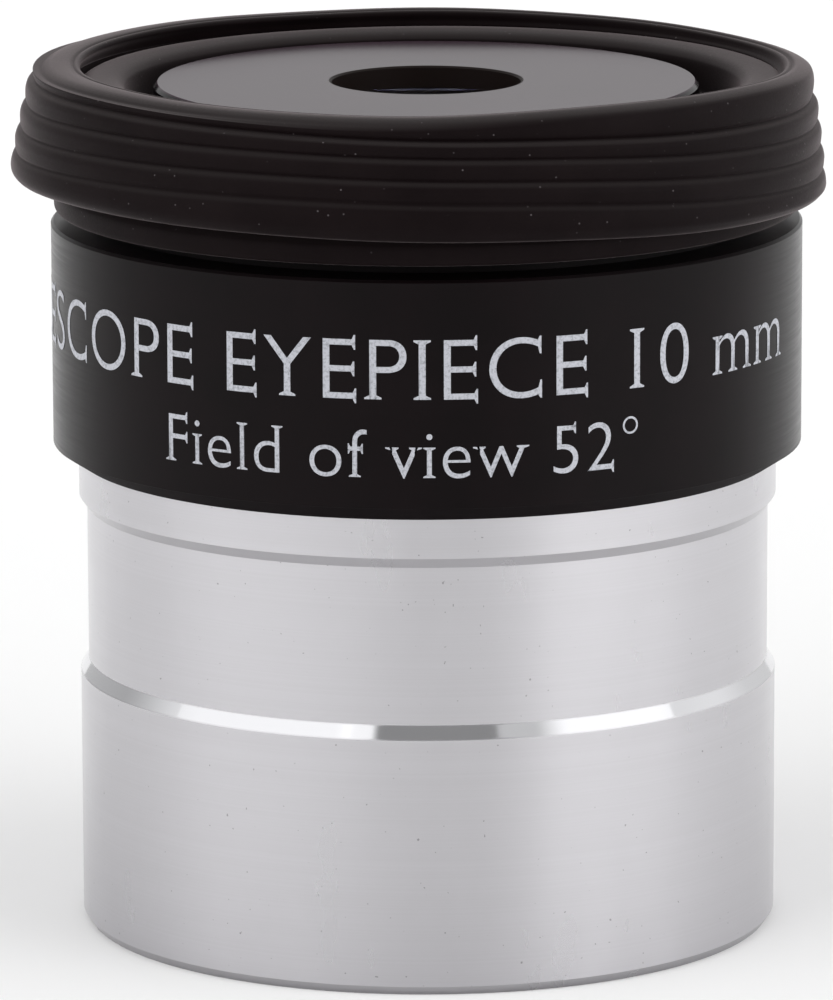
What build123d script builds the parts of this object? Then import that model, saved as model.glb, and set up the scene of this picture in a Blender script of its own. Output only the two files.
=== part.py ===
from build123d import *
import math
import os

# 1.25 inch telescope eyepiece, 10 mm focal length, four lenses in two cemented doublets.
# Millimetres. Z is the optical axis, up towards the eye, and Z = 0 is the barrel's lower face.
# Almost every piece is a turned or moulded ring, so each one is a half section revolved about Z.

# ---------------------------------------------------------------- barrel
barrel_radius = 15.875           # 1.25 inch nosepiece
barrel_height = 21.50            # lower face to the shoulder that the housing seats on
barrel_bore_radius = 13.20
bottom_chamfer_width = 0.28
bottom_chamfer_height = 0.41
undercut_depth = 0.36            # safety groove that the focuser's screw drops into
undercut_bottom = 12.19
undercut_top = 19.26
lower_bevel_height = 0.62
upper_bevel_height = 0.48
filter_thread_radius = 14.25     # M28.5 x 0.6 at its major radius
filter_thread_depth = 4.40
filter_lead_in = 0.35
bore_step_cone = 0.90            # cone between the filter thread and the bore

# ---------------------------------------------------------------- barrel to housing thread
joint_thread_radius = 14.60      # crest of the male thread
joint_thread_pitch = 0.75
joint_thread_turns = 5
joint_thread_root_depth = 0.42
joint_thread_crest = 0.15        # flat left on each crest
cutter_overshoot = 0.20          # how far the thread cutter stands outside the crest
spigot_height = 4.50
spigot_relief_height = 0.50
spigot_lead_in = 0.25

# ---------------------------------------------------------------- housing
housing_radius = 17.02
housing_height = 10.78           # seat on the barrel to the step below the eyecup
housing_bottom_chamfer_width = 1.08
housing_bottom_chamfer_height = 0.70
housing_edge_break = 0.12
housing_floor_thickness = 7.00   # solid disc that carries the lens cell
socket_relief = 0.60             # room above the spigot's end
neck_height = 4.57               # the neck stands up into the eyecup
neck_wall = 1.40
neck_edge_break = 0.20
neck_groove_depth = 0.55         # groove that the eyecup's bead snaps into
neck_groove_height = 1.20
neck_groove_offset = 1.50        # from the housing's step to the groove

# ---------------------------------------------------------------- lens cell and its eye plate
plate_radius = 12.318
plate_above_neck = 1.66          # eye plate over the top of the neck
plate_edge_chamfer = 0.18
plate_to_neck_gap = 1.282        # width of the trough round the plate
plate_lip_thickness = 1.00       # metal over the eye lens
eye_hole_radius = 4.28
eye_hole_chamfer = 0.08
cell_radius = 9.00               # body of the cell, below its head

# ---------------------------------------------------------------- lenses
lens_radius = 5.40
crown_outer_curve = 11.60        # radius of the crown's air face
cement_curve = 8.90              # radius of the face that crown and flint share
flint_centre = 0.90
crown_edge = 0.75
lens_air_gap = 0.50              # between the two crowns, on the axis
lens_edge_break = 0.10

# ---------------------------------------------------------------- spacer, retainer, field stop
spacer_wall = 0.65
retainer_thread_step = 0.70      # thread radius beyond the lenses
retainer_seat = 0.65             # width that bears on the field lens
retainer_height = 1.50
retainer_slot_width = 1.00
retainer_slot_depth = 0.60
stop_tube_radius = 8.00
stop_tube_wall = 0.90
stop_tube_height = 5.60
stop_thread_length = 2.00        # length that is screwed into the cell
stop_aperture_radius = 4.55      # 52 degrees at 10 mm
stop_plate_thickness = 0.80
stop_edge_thickness = 0.12       # sharp edge of the aperture

# ---------------------------------------------------------------- eyecup
cup_bottom_gap = 0.58            # dark line between the housing's step and the rubber
band_wall = 1.87                 # rubber round the neck, below the folded skirt
band_hidden_wall = 1.60          # the band is thinner behind the skirt
band_exposed_height = 0.95
band_height = 4.44
band_edge_break = 0.15
flange_setback = 0.30            # shelf's inner edge, out from the neck's inner wall
flange_overhang = 0.70           # shelf's outer edge, out from the neck's outer wall
flange_thickness = 0.80
flange_edge_round = 0.30
web_wall = 0.55
rim_height = 7.15                # folded edge above the housing's step
rim_thickness = 0.75
rim_edge_round = 0.30
rim_shoulder_drop = 0.40         # the rim slopes down to the skirt
skirt_gap = 0.13                 # skirt to band
skirt_lip_height = 1.37          # crease above the housing's step
skirt_rib_count = 3              # ribs above the lip, which is a fourth and larger one
skirt_rib_pitch = 1.09
skirt_first_valley_drop = 1.13   # first valley below the top of the rim
skirt_first_valley_wall = 0.52   # rubber over the skirt's inner face, at valleys and crests
skirt_last_valley_wall = 1.27
skirt_first_crest_wall = 0.90
skirt_lip_wall = 1.43
skirt_crest_share = 0.55         # part of a pitch from a valley down to the crest below it
lip_corner_wall = 1.05           # where the lip has rounded over to its flat underside
lip_corner_lift = 0.12

# ---------------------------------------------------------------- clearances
thread_clearance = 0.05          # male crest to the plain female wall
fixed_clearance = 0.02           # seated pieces of one body
lens_clearance = 0.02            # glass to metal, radial
stop_clearance = 0.05            # field stop in the cell

os.makedirs("parts", exist_ok=True)


def sag(curve, radius):
    """Depth of a spherical face of the given curve out at the given radius."""
    return curve - math.sqrt(curve ** 2 - radius ** 2)


# Heights that follow from the values above.
undercut_radius = barrel_radius - undercut_depth
housing_seat = barrel_height
housing_step = housing_seat + housing_height
neck_top = housing_step + neck_height
neck_inner_radius = plate_radius + plate_to_neck_gap
neck_radius = neck_inner_radius + neck_wall
socket_radius = joint_thread_radius + thread_clearance
spigot_top = barrel_height + spigot_height
socket_top = spigot_top + socket_relief
housing_floor_top = socket_top + housing_floor_thickness
plate_top = neck_top + plate_above_neck
eye_lens_top = plate_top - plate_lip_thickness
flint_edge = flint_centre + sag(cement_curve, lens_radius)
crown_bulge = sag(crown_outer_curve, lens_radius)
doublet_edge = flint_edge + crown_edge
field_lens_bottom = eye_lens_top - 2 * doublet_edge - 2 * crown_bulge - lens_air_gap
cell_bore_radius = lens_radius + lens_clearance
retainer_radius = lens_radius + retainer_thread_step
retainer_bore_radius = lens_radius - retainer_seat
retainer_bottom = field_lens_bottom - retainer_height
stop_top = retainer_bottom - fixed_clearance
cell_bottom = stop_top - stop_thread_length
stop_bottom = stop_top - stop_tube_height
cup_bottom = housing_step + cup_bottom_gap
band_top = cup_bottom + band_height
rim_top = housing_step + rim_height
rim_bottom = rim_top - rim_thickness
lip_bottom = housing_step + skirt_lip_height
flange_top = neck_top + flange_thickness
flange_inner_radius = neck_inner_radius + flange_setback
flange_outer_radius = neck_radius + flange_overhang
band_radius = neck_radius + band_wall
band_hidden_radius = neck_radius + band_hidden_wall
web_inner_radius = band_hidden_radius - web_wall
skirt_inner_radius = band_radius + skirt_gap
lens_middle = eye_lens_top - doublet_edge - crown_bulge - lens_air_gap / 2


# ---------------------------------------------------------------- barrel
# One turned tube: nosepiece with its safety undercut, filter thread below, spigot thread above.
with BuildPart() as barrel:
    with BuildSketch(Plane.XZ) as barrel_section:
        with BuildLine():
            Polyline(
                (filter_thread_radius + filter_lead_in, 0),
                (barrel_radius - bottom_chamfer_width, 0),
                (barrel_radius, bottom_chamfer_height),
                (barrel_radius, undercut_bottom - lower_bevel_height),
                (undercut_radius, undercut_bottom),
                (undercut_radius, undercut_top),
                (barrel_radius, undercut_top + upper_bevel_height),
                (barrel_radius, barrel_height),
                (joint_thread_radius - joint_thread_root_depth, barrel_height),
                (joint_thread_radius - joint_thread_root_depth, barrel_height + spigot_relief_height),
                (joint_thread_radius, barrel_height + spigot_relief_height),
                (joint_thread_radius, spigot_top - spigot_lead_in),
                (joint_thread_radius - spigot_lead_in, spigot_top),
                (barrel_bore_radius, spigot_top),
                (barrel_bore_radius, filter_thread_depth + bore_step_cone),
                (filter_thread_radius, filter_thread_depth),
                (filter_thread_radius, filter_lead_in),
                close=True,
            )
        make_face()
    revolve(axis=Axis.Z)

    # Male thread as ring grooves, one to a pitch. The female thread in the housing is plain.
    with BuildSketch(Plane.XZ):
        for turn in range(joint_thread_turns):
            groove_bottom = barrel_height + spigot_relief_height + turn * joint_thread_pitch
            groove_middle = groove_bottom + joint_thread_pitch / 2
            half_groove = (joint_thread_pitch - joint_thread_crest) / 2
            with BuildLine():
                Polyline(
                    (joint_thread_radius + cutter_overshoot, groove_middle - half_groove),
                    (joint_thread_radius, groove_middle - half_groove),
                    (joint_thread_radius - joint_thread_root_depth, groove_middle),
                    (joint_thread_radius, groove_middle + half_groove),
                    (joint_thread_radius + cutter_overshoot, groove_middle + half_groove),
                    close=True,
                )
            make_face()
    revolve(axis=Axis.Z, mode=Mode.SUBTRACT)
barrel.part.label = "barrel"
export_step(barrel.part, "parts/barrel.step")


# ---------------------------------------------------------------- housing
# Black outer shell: socket for the spigot below, solid floor that carries the lens cell, and a
# neck with a groove for the eyecup's bead.
with BuildPart() as housing:
    with BuildSketch(Plane.XZ):
        with BuildLine():
            Polyline(
                (socket_radius, housing_seat),
                (housing_radius - housing_bottom_chamfer_width, housing_seat),
                (housing_radius, housing_seat + housing_bottom_chamfer_height),
                (housing_radius, housing_step - housing_edge_break),
                (housing_radius - housing_edge_break, housing_step),
                (neck_radius, housing_step),
                (neck_radius, housing_step + neck_groove_offset),
                (neck_radius - neck_groove_depth, housing_step + neck_groove_offset),
                (neck_radius - neck_groove_depth, housing_step + neck_groove_offset + neck_groove_height),
                (neck_radius, housing_step + neck_groove_offset + neck_groove_height),
                (neck_radius, neck_top - neck_edge_break),
                (neck_radius - neck_edge_break, neck_top),
                (neck_inner_radius + neck_edge_break, neck_top),
                (neck_inner_radius, neck_top - neck_edge_break),
                (neck_inner_radius, housing_floor_top),
                (cell_radius + fixed_clearance, housing_floor_top),
                (cell_radius + fixed_clearance, socket_top),
                (socket_radius, socket_top),
                close=True,
            )
        make_face()
    revolve(axis=Axis.Z)
housing.part.label = "housing"
export_step(housing.part, "parts/housing.step")


# ---------------------------------------------------------------- lens cell
# Tube for the lens stack. Its wide head is the eye plate, and sits on the housing's floor.
with BuildPart() as lens_cell:
    with BuildSketch(Plane.XZ):
        with BuildLine():
            Polyline(
                (eye_hole_radius + eye_hole_chamfer, plate_top),
                (plate_radius - plate_edge_chamfer, plate_top),
                (plate_radius, plate_top - plate_edge_chamfer),
                (plate_radius, housing_floor_top),
                (cell_radius, housing_floor_top),
                (cell_radius, cell_bottom),
                (stop_tube_radius + stop_clearance, cell_bottom),
                (stop_tube_radius + stop_clearance, stop_top + fixed_clearance),
                (retainer_radius + fixed_clearance, stop_top + fixed_clearance),
                (retainer_radius + fixed_clearance, field_lens_bottom),
                (cell_bore_radius, field_lens_bottom),
                (cell_bore_radius, eye_lens_top),
                (eye_hole_radius, eye_lens_top),
                (eye_hole_radius, plate_top - eye_hole_chamfer),
                close=True,
            )
        make_face()
    revolve(axis=Axis.Z)
lens_cell.part.label = "lens_cell"
export_step(lens_cell.part, "parts/lens_cell.step")


# ---------------------------------------------------------------- eye doublet
# The flint is the outer glass, flat on its air face. The crown is cemented into its hollow face.
eye_cement_vertex = eye_lens_top - flint_centre
eye_cement_edge = eye_lens_top - flint_edge
eye_crown_edge = eye_lens_top - doublet_edge
eye_crown_vertex = eye_crown_edge - crown_bulge
half_lens_radius = lens_radius / 2
cement_half_height = eye_cement_vertex - sag(cement_curve, half_lens_radius)
crown_half_height = eye_crown_vertex + sag(crown_outer_curve, half_lens_radius)

with BuildPart() as eye_flint:
    with BuildSketch(Plane.XZ):
        with BuildLine():
            Polyline(
                (0, eye_cement_vertex),
                (0, eye_lens_top),
                (lens_radius - lens_edge_break, eye_lens_top),
                (lens_radius, eye_lens_top - lens_edge_break),
                (lens_radius, eye_cement_edge),
            )
            ThreePointArc(
                (lens_radius, eye_cement_edge),
                (half_lens_radius, cement_half_height),
                (0, eye_cement_vertex),
            )
        make_face()
    revolve(axis=Axis.Z)
eye_flint.part.label = "eye_flint"
export_step(eye_flint.part, "parts/eye_flint.step")

with BuildPart() as eye_crown:
    with BuildSketch(Plane.XZ):
        with BuildLine():
            Line((0, eye_crown_vertex), (0, eye_cement_vertex))
            ThreePointArc(
                (0, eye_cement_vertex),
                (half_lens_radius, cement_half_height),
                (lens_radius, eye_cement_edge),
            )
            Line((lens_radius, eye_cement_edge), (lens_radius, eye_crown_edge))
            ThreePointArc(
                (lens_radius, eye_crown_edge),
                (half_lens_radius, crown_half_height),
                (0, eye_crown_vertex),
            )
        make_face()
    revolve(axis=Axis.Z)
eye_crown.part.label = "eye_crown"
export_step(eye_crown.part, "parts/eye_crown.step")


# ---------------------------------------------------------------- field doublet
# The same two glasses turned over, crown to crown with the eye doublet.
lens_mirror = Plane.XY.offset(lens_middle)

with BuildPart() as field_crown:
    mirror(eye_crown.part, about=lens_mirror)
field_crown.part.label = "field_crown"
export_step(field_crown.part, "parts/field_crown.step")

with BuildPart() as field_flint:
    mirror(eye_flint.part, about=lens_mirror)
field_flint.part.label = "field_flint"
export_step(field_flint.part, "parts/field_flint.step")


# ---------------------------------------------------------------- lens spacer
# Thin ring between the crowns. Its inner edges touch their curved faces.
spacer_bore_radius = lens_radius - spacer_wall
spacer_half_height = lens_air_gap / 2 + sag(crown_outer_curve, spacer_bore_radius)

with BuildPart() as lens_spacer:
    with BuildSketch(Plane.XY.offset(lens_middle - spacer_half_height)):
        Circle(lens_radius)
        Circle(spacer_bore_radius, mode=Mode.SUBTRACT)
    extrude(amount=2 * spacer_half_height)
lens_spacer.part.label = "lens_spacer"
export_step(lens_spacer.part, "parts/lens_spacer.step")


# ---------------------------------------------------------------- lens retainer
# Threaded ring that holds the stack up. A pin spanner turns it by the slot across its lower face.
with BuildPart() as lens_retainer:
    with BuildSketch(Plane.XY.offset(retainer_bottom)):
        Circle(retainer_radius)
        Circle(retainer_bore_radius, mode=Mode.SUBTRACT)
    extrude(amount=retainer_height)
    with BuildSketch(Plane.XY.offset(retainer_bottom)):
        Rectangle(2 * retainer_radius, retainer_slot_width)
    extrude(amount=retainer_slot_depth, mode=Mode.SUBTRACT)
lens_retainer.part.label = "lens_retainer"
export_step(lens_retainer.part, "parts/lens_retainer.step")


# ---------------------------------------------------------------- field stop
# Tube in the lower end of the cell. Its bevelled plate has the round edge that bounds the view.
stop_bore_radius = stop_tube_radius - stop_tube_wall

with BuildPart() as field_stop:
    with BuildSketch(Plane.XZ):
        with BuildLine():
            Polyline(
                (stop_aperture_radius, stop_bottom),
                (stop_tube_radius, stop_bottom),
                (stop_tube_radius, stop_top),
                (stop_bore_radius, stop_top),
                (stop_bore_radius, stop_bottom + stop_plate_thickness),
                (stop_aperture_radius + stop_plate_thickness, stop_bottom + stop_plate_thickness),
                (stop_aperture_radius, stop_bottom + stop_edge_thickness),
                close=True,
            )
        make_face()
    revolve(axis=Axis.Z)
field_stop.part.label = "field_stop"
export_step(field_stop.part, "parts/field_stop.step")


# ---------------------------------------------------------------- eyecup band
# The part of the rubber cup that grips the neck: a bead in the neck's groove, and a flange over
# the neck's top. It is thinner where the folded skirt hangs around it.
band_bore_radius = neck_radius + fixed_clearance
bead_radius = neck_radius - neck_groove_depth + fixed_clearance
bead_bottom = housing_step + neck_groove_offset + fixed_clearance
bead_top = housing_step + neck_groove_offset + neck_groove_height - fixed_clearance
flange_bottom = neck_top + fixed_clearance
band_step = cup_bottom + band_exposed_height

with BuildPart() as eyecup_band:
    with BuildSketch(Plane.XZ):
        with BuildLine():
            Polyline(
                (flange_inner_radius, flange_top - flange_edge_round),
                (flange_inner_radius, flange_bottom),
                (band_bore_radius, flange_bottom),
                (band_bore_radius, bead_top),
                (bead_radius, bead_top),
                (bead_radius, bead_bottom),
                (band_bore_radius, bead_bottom),
                (band_bore_radius, cup_bottom),
                (band_radius - band_edge_break, cup_bottom),
                (band_radius, cup_bottom + band_edge_break),
                (band_radius, band_step),
                (band_hidden_radius, band_step + band_radius - band_hidden_radius),
                (band_hidden_radius, band_top),
                (flange_outer_radius + flange_top - band_top, band_top),
                (flange_outer_radius, flange_top),
                (flange_inner_radius + flange_edge_round, flange_top),
            )
            RadiusArc(
                (flange_inner_radius + flange_edge_round, flange_top),
                (flange_inner_radius, flange_top - flange_edge_round),
                -flange_edge_round,
            )
        make_face()
    revolve(axis=Axis.Z)
eyecup_band.part.label = "eyecup_band"
export_step(eyecup_band.part, "parts/eyecup_band.step")


# ---------------------------------------------------------------- eyecup web
# The wall between the band and the rim. It stretches when the cup is turned up.
with BuildPart() as eyecup_web:
    with BuildSketch(Plane.XY.offset(band_top)):
        Circle(band_hidden_radius)
        Circle(web_inner_radius, mode=Mode.SUBTRACT)
    extrude(amount=rim_bottom - band_top)
eyecup_web.part.label = "eyecup_web"
export_step(eyecup_web.part, "parts/eyecup_web.step")


# ---------------------------------------------------------------- eyecup skirt
# The folded part: a rounded rim, three ribs and a thicker lip, each rib a shallow arc.
rib_valleys = []
rib_crests = []
for rib in range(skirt_rib_count + 1):
    valley_growth = (skirt_last_valley_wall - skirt_first_valley_wall) * rib / skirt_rib_count
    crest_growth = (skirt_lip_wall - skirt_first_crest_wall) * rib / skirt_rib_count
    valley_height = rim_top - skirt_first_valley_drop - rib * skirt_rib_pitch
    valley_radius = skirt_inner_radius + skirt_first_valley_wall + valley_growth
    rib_valleys.append((valley_radius, valley_height))
    crest_height = valley_height - skirt_crest_share * skirt_rib_pitch
    crest_radius = skirt_inner_radius + skirt_first_crest_wall + crest_growth
    rib_crests.append((crest_radius, crest_height))
lip_corner_radius = skirt_inner_radius + lip_corner_wall

with BuildPart() as eyecup_skirt:
    with BuildSketch(Plane.XZ):
        with BuildLine():
            Polyline(
                (lip_corner_radius, lip_bottom + lip_corner_lift),
                (skirt_inner_radius, lip_bottom),
                (skirt_inner_radius, rim_bottom),
                (web_inner_radius, rim_bottom),
                (web_inner_radius, rim_top - rim_edge_round),
            )
            RadiusArc(
                (web_inner_radius, rim_top - rim_edge_round),
                (web_inner_radius + rim_edge_round, rim_top),
                rim_edge_round,
            )
            Spline(
                (web_inner_radius + rim_edge_round, rim_top),
                (skirt_inner_radius, rim_top - rim_shoulder_drop / 2),
                rib_valleys[0],
            )
            for rib in range(skirt_rib_count):
                ThreePointArc(rib_valleys[rib], rib_crests[rib], rib_valleys[rib + 1])
            ThreePointArc(
                rib_valleys[skirt_rib_count],
                rib_crests[skirt_rib_count],
                (lip_corner_radius, lip_bottom + lip_corner_lift),
            )
        make_face()
    revolve(axis=Axis.Z)
eyecup_skirt.part.label = "eyecup_skirt"
export_step(eyecup_skirt.part, "parts/eyecup_skirt.step")
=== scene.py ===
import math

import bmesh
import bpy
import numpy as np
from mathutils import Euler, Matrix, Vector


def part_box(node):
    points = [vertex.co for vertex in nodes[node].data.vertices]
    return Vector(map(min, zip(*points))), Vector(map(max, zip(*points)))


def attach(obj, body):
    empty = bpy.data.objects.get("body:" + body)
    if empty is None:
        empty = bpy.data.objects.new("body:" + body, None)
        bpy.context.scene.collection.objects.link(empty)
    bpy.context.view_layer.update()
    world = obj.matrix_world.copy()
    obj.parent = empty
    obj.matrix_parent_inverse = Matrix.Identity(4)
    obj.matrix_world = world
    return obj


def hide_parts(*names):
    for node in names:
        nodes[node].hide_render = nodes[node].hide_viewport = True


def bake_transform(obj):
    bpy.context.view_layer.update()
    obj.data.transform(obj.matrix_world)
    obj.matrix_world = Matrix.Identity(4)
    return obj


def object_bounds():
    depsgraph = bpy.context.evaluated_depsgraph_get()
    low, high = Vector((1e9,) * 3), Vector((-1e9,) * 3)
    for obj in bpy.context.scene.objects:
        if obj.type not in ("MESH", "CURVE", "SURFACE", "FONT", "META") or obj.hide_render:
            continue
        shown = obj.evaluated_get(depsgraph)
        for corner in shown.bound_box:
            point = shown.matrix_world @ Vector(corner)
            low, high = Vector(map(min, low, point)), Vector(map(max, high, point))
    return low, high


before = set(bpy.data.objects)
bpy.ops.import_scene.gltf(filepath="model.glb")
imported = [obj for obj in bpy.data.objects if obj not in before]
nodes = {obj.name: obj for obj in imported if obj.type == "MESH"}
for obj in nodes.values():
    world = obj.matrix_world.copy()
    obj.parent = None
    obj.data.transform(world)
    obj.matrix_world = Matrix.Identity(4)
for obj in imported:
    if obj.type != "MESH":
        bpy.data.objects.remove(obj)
cad_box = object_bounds()

# %% [markdown]
# # A telescope eyepiece, finished in Blender
#
# The piece is a small 1.25 inch eyepiece: a bright turned barrel, a black housing with a
# silver marking, a flat black eye plate with a lens under it, and a ribbed rubber eyecup that
# is folded down. The CAD frame above already holds every piece at its real size and place.
# What is left is the work of a finisher: the surface of each metal, the glass, the marking,
# the filter thread, and the rubber, which is modelled again because real rubber is never as
# regular as a turned part.

# %% [markdown]
# ## Units
#
# Blender works in metres, and an eyepiece is drawn in millimetres, so every length below is
# written in millimetres and multiplied once, where a mesh or a lamp is made. The "Standard"
# view leaves white paper white, where the default one would grey it.

MM = 0.001
scene = bpy.context.scene
scene.view_settings.view_transform = "Standard"
low, high = cad_box
print("CAD box, mm:", [round(v / MM, 2) for v in (*low, *high)])

# %% [markdown]
# ## The camera
#
# A small shiny object is photographed with a long lens from further away, because a short lens
# close by would bend its straight sides. The camera could track an empty, but a product shot
# is easier to repeat when its place is written as three numbers: how far it stands from the
# axis, how high it is, and how far it looks down.

# %% Camera
CAMERA_DISTANCE = 361.4 * MM
CAMERA_HEIGHT = 92.8 * MM
LOOK_DOWN = math.radians(11.52)
TURN_LEFT = 0.00138              # radians, like the roll: no tripod stands quite true
ROLL = -0.0033
LENS = 290.9                     # focal length on a sensor 36 mm wide

camera_data = bpy.data.cameras.new("camera")
camera_data.lens = LENS
camera_data.sensor_width = 36
camera_data.clip_start = 0.01
camera_data.clip_end = 20
camera = bpy.data.objects.new("camera", camera_data)
aim = Euler((math.pi / 2 - LOOK_DOWN, 0, TURN_LEFT)).to_matrix() @ Matrix.Rotation(ROLL, 3, "Z")
camera.matrix_world = Matrix.Translation((0, -CAMERA_DISTANCE, CAMERA_HEIGHT)) @ aim.to_4x4()
scene.collection.objects.link(camera)
scene.camera = camera
print("camera stands", round(CAMERA_DISTANCE / MM), "mm from the axis, lens", LENS, "mm")

# %% [markdown]
# ## Short words for node work
#
# Light and surfaces are both made from node trees here. The nodes could be wired by hand in
# the shader editor, but in a script the wires are long lines, so a few small helpers shorten
# them: one adds a node, one sets its inputs, one does arithmetic and one makes a colour ramp.

# %% Helpers for node trees
def tree_of(owner):
    """An emptied node tree of a material or world."""
    owner.use_nodes = True
    owner.node_tree.nodes.clear()
    return owner.node_tree


def add(tree, kind, **settings):
    """A node of this kind, with its attributes set."""
    node = tree.nodes.new(kind)
    for name, value in settings.items():
        setattr(node, name, value)
    return node


def put(node, **values):
    """Sets a node's unlinked inputs by name. An underscore in a name stands for a space."""
    for name, value in values.items():
        node.inputs[name.replace("_", " ")].default_value = value
    return node


def math_node(tree, operation, first, second=None, third=None):
    """A Math node whose inputs are sockets or plain numbers. Returns its output."""
    node = add(tree, "ShaderNodeMath", operation=operation)
    for index, value in enumerate((first, second, third)):
        if value is None:
            continue
        if isinstance(value, (int, float)):
            node.inputs[index].default_value = value
        else:
            tree.links.new(value, node.inputs[index])
    return node.outputs[0]


def ramp(tree, factor, stops, interpolation="LINEAR"):
    """A Color Ramp from (position, grey or colour) stops. Returns its colour output."""
    node = add(tree, "ShaderNodeValToRGB")
    node.color_ramp.interpolation = interpolation
    elements = node.color_ramp.elements
    while len(elements) < len(stops):
        elements.new(0.5)
    for element, (position, value) in zip(elements, stops):
        element.position = position
        element.color = (value, value, value, 1) if isinstance(value, (int, float)) else (*value, 1)
    tree.links.new(factor, node.inputs[0])
    return node.outputs[0]


# %% [markdown]
# ## The studio
#
# Bright metal and black lacquer show little of their own: they show the room. So the room is
# built first. It is a white studio whose brightness changes by compass direction: broad soft
# walls to the left and right, and a dimmer gap behind the camera. On a turned barrel that
# becomes the upright bands that tell the eye that it is round and that it is metal. Lamps
# alone would leave black metal between their reflections. A picture of a real studio would
# serve too, but a ramp can be tuned one stop at a time.

# %% World
# Brightness by compass direction, as shares of a full circle. 0.5 is the wall behind the camera,
# 0.25 the left side, 0.75 the right side, and 0 and 1 the wall behind the eyepiece.
STUDIO_WALLS = (
    (0.000, 0.36), (0.156, 0.27), (0.211, 0.36), (0.256, 0.56), (0.300, 0.72), (0.400, 0.62),
    (0.450, 0.50), (0.519, 0.38), (0.560, 0.44), (0.585, 0.62), (0.614, 0.92), (0.645, 0.97),
    (0.760, 0.76), (0.810, 0.60), (0.870, 0.44), (1.000, 0.36),
)
CEILING_LEVEL = 0.66             # how bright the ceiling is beside the walls
OVERHEAD_GAP = 0.26              # the opening between the two soft boxes above the camera
# The ceiling by compass direction, in the same shares of a circle.
STUDIO_CEILING = (
    (0.10, 0.45), (0.25, 0.88), (0.40, 0.90), (0.41, 1.05), (0.439, 1.05),
    (0.443, OVERHEAD_GAP), (0.62, OVERHEAD_GAP), (0.65, 0.82), (0.74, 0.85), (0.90, 0.45),
)
WALLS_MEET_CEILING = ((0.30, 0.0), (0.50, 1.0))    # by the height of the direction, 1 is overhead
CEILING_MEETS_LID = ((0.80, 0.0), (0.90, 1.0))     # right overhead it is plain white
STUDIO_STRENGTH = 1.90

world = bpy.data.worlds.new("studio")
scene.world = world
tree = tree_of(world)
direction = add(tree, "ShaderNodeTexCoord").outputs["Generated"]
axes = add(tree, "ShaderNodeSeparateXYZ")
tree.links.new(direction, axes.inputs[0])
toward_back = math_node(tree, "MULTIPLY", axes.outputs["Y"], -1.0)
compass = math_node(tree, "ARCTAN2", axes.outputs["X"], toward_back)
turn_share = math_node(tree, "MULTIPLY_ADD", compass, 1 / (2 * math.pi), 0.5)
walls = ramp(tree, turn_share, STUDIO_WALLS)
ceiling = ramp(tree, turn_share, STUDIO_CEILING)
high_share = ramp(tree, axes.outputs["Z"], WALLS_MEET_CEILING, "EASE")
above_gap = ramp(tree, axes.outputs["Z"], CEILING_MEETS_LID)
lid = add(tree, "ShaderNodeMix", data_type="RGBA")
lid.inputs["B"].default_value = (1, 1, 1, 1)
tree.links.new(above_gap, lid.inputs["Factor"])
tree.links.new(ceiling, lid.inputs["A"])
dimmed = add(tree, "ShaderNodeMix", data_type="RGBA", blend_type="MULTIPLY")
dimmed.inputs["Factor"].default_value = 1.0
dimmed.inputs["B"].default_value = (CEILING_LEVEL, CEILING_LEVEL, CEILING_LEVEL, 1)
tree.links.new(lid.outputs["Result"], dimmed.inputs["A"])
sky = add(tree, "ShaderNodeMix", data_type="RGBA")
tree.links.new(high_share, sky.inputs["Factor"])
tree.links.new(walls, sky.inputs["A"])
tree.links.new(dimmed.outputs["Result"], sky.inputs["B"])
background = put(add(tree, "ShaderNodeBackground"), Strength=STUDIO_STRENGTH)
tree.links.new(sky.outputs["Result"], background.inputs["Color"])
tree.links.new(background.outputs[0], add(tree, "ShaderNodeOutputWorld").inputs["Surface"])
print("studio:", len(STUDIO_WALLS), "wall stops and", len(STUDIO_CEILING), "ceiling stops")

# %% [markdown]
# ## The paper it stands on
#
# The eyepiece stands on a large white sheet. The upright metal mirrors that sheet, so the
# sheet matters more than any lamp. It could curve up behind as a real paper sweep does, but a
# flat floor and a pale world give the same horizonless white.

# %% Floor
FLOOR_SIZE = 6.0                 # metres
PAPER_WHITE = (0.93, 0.93, 0.93, 1)

floor_mesh = bpy.data.meshes.new("floor")
half = FLOOR_SIZE / 2
floor_mesh.from_pydata([(-half, -half, 0), (half, -half, 0), (half, half, 0), (-half, half, 0)],
                       [], [(0, 1, 2, 3)])
floor = bpy.data.objects.new("floor", floor_mesh)
scene.collection.objects.link(floor)
paper = bpy.data.materials.new("white_paper")
tree = tree_of(paper)
sheet_shader = put(add(tree, "ShaderNodeBsdfDiffuse"), Color=PAPER_WHITE, Roughness=1.0)
tree.links.new(sheet_shader.outputs[0], add(tree, "ShaderNodeOutputMaterial").inputs["Surface"])
floor_mesh.materials.append(paper)
print("floor", FLOOR_SIZE, "m square")

# %% [markdown]
# ## Three soft boxes
#
# The world lights the eyepiece from everywhere. Three weak square lamps add a direction to
# that light, so that the foot has a shadow. Large and near makes soft: each box is about
# twenty times as wide as the eyepiece, so the edge of its shadow is wide too. Point lamps
# would draw a hard edge, and small bright dots on the metal.

# %% Soft boxes
BOX_SIZE = 0.80                  # metres
REAR_BOX_SIZE = 0.70
EYEPIECE_MIDDLE = Vector((0, 0, 0.02))


def soft_box(name, place, size, watts):
    """A square area lamp that looks at the eyepiece's middle. Places and sizes in metres."""
    data = bpy.data.lights.new(name, "AREA")
    data.size = size
    data.energy = watts
    lamp = bpy.data.objects.new(name, data)
    lamp.location = place
    look = EYEPIECE_MIDDLE - Vector(place)
    lamp.rotation_euler = look.to_track_quat("-Z", "Y").to_euler()
    scene.collection.objects.link(lamp)
    print(name, watts, "W,", round(look.length, 2), "m away")


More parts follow.
